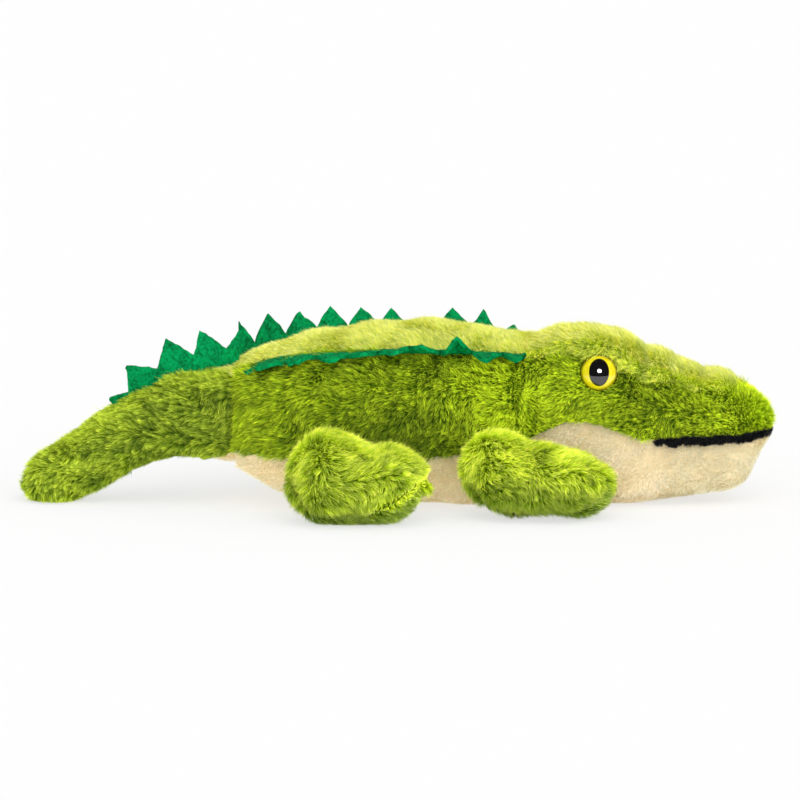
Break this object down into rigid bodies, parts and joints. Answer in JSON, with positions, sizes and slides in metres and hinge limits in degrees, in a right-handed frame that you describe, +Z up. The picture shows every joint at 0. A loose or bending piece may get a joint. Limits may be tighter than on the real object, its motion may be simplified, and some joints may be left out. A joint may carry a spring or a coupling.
{
  "type": "plush crocodile",
  "caption": "Soft plush crocodile that lies on its belly, with toothed felt crests, dome eyes, a turning head and tail, and legs that swing.",
  "frame": {"origin": "middle of the toy's bounding box, at the floor it lies on", "axes": "+X from the tail to the snout, +Y to the toy's left, +Z up"},
  "size_m": [0.3971, 0.2078, 0.0967],
  "materials": {
    "plush_green": "matte",
    "plush_leg": "matte",
    "plush_tail": "matte",
    "plush_lime": "matte",
    "plush_cream": "matte",
    "felt_green": "matte",
    "eye_yellow": "gloss",
    "pupil_black": "gloss",
    "cord_black": "matte",
    "washer_white": "satin",
    "polyester_filling": "matte"
  },
  "bodies": {
    "torso": {"torso_stuffing": "polyester_filling", "side_panel_right": "plush_green", "side_panel_left": "plush_green", "back_panel": "plush_lime", "belly_panel": "plush_cream", "back_crest_right": "felt_green", "back_crest_left": "felt_green"},
    "head": {"head_stuffing": "polyester_filling", "cheek_panel_right": "plush_green", "cheek_panel_left": "plush_green", "head_top_panel": "plush_lime", "jaw_panel": "plush_cream", "mouth_trim": "cord_black", "eye_right": "eye_yellow", "eye_left": "eye_yellow", "pupil_right": "pupil_black", "pupil_left": "pupil_black", "eye_washer_right": "washer_white", "eye_washer_left": "washer_white"},
    "tail": {"tail_stuffing": "polyester_filling", "tail_panel_right": "plush_tail", "tail_panel_left": "plush_tail", "tail_underside": "plush_cream", "tail_crest": "felt_green"},
    "hind_leg_right": {"hind_leg_right_stuffing": "polyester_filling", "hind_leg_right_top": "plush_leg", "hind_leg_right_sole": "plush_leg"},
    "hind_leg_left": {"hind_leg_left_stuffing": "polyester_filling", "hind_leg_left_top": "plush_leg", "hind_leg_left_sole": "plush_leg"},
    "front_leg_right": {"front_leg_right_stuffing": "polyester_filling", "front_leg_right_top": "plush_leg", "front_leg_right_sole": "plush_leg"},
    "front_leg_left": {"front_leg_left_stuffing": "polyester_filling", "front_leg_left_top": "plush_leg", "front_leg_left_sole": "plush_leg"}
  },
  "joints": [
    {"name": "head_turn", "type": "hinge", "parent": "torso", "child": "head", "pos_m": [0.0664, 0, 0.042], "axis": [0, 0, 1], "range_deg": [-9, 9], "stiffness_Nm_per_rad": 0.2},
    {"name": "tail_turn", "type": "hinge", "parent": "torso", "child": "tail", "pos_m": [-0.0846, 0, 0.042], "axis": [0, 0, 1], "range_deg": [-20, 20], "stiffness_Nm_per_rad": 0.08},
    {"name": "hind_leg_right_swing", "type": "hinge", "parent": "torso", "child": "hind_leg_right", "pos_m": [-0.0376, -0.054, 0.026], "axis": [0, -1, 0], "range_deg": [-25, 35], "stiffness_Nm_per_rad": 0.03},
    {"name": "hind_leg_left_swing", "type": "hinge", "parent": "torso", "child": "hind_leg_left", "pos_m": [-0.0376, 0.054, 0.026], "axis": [0, -1, 0], "range_deg": [-25, 35], "stiffness_Nm_per_rad": 0.03},
    {"name": "front_leg_right_swing", "type": "hinge", "parent": "torso", "child": "front_leg_right", "pos_m": [0.0474, -0.0455, 0.026], "axis": [0, -1, 0], "range_deg": [-25, 35], "stiffness_Nm_per_rad": 0.03},
    {"name": "front_leg_left_swing", "type": "hinge", "parent": "torso", "child": "front_leg_left", "pos_m": [0.0474, 0.0455, 0.026], "axis": [0, -1, 0], "range_deg": [-25, 35], "stiffness_Nm_per_rad": 0.03}
  ]
}
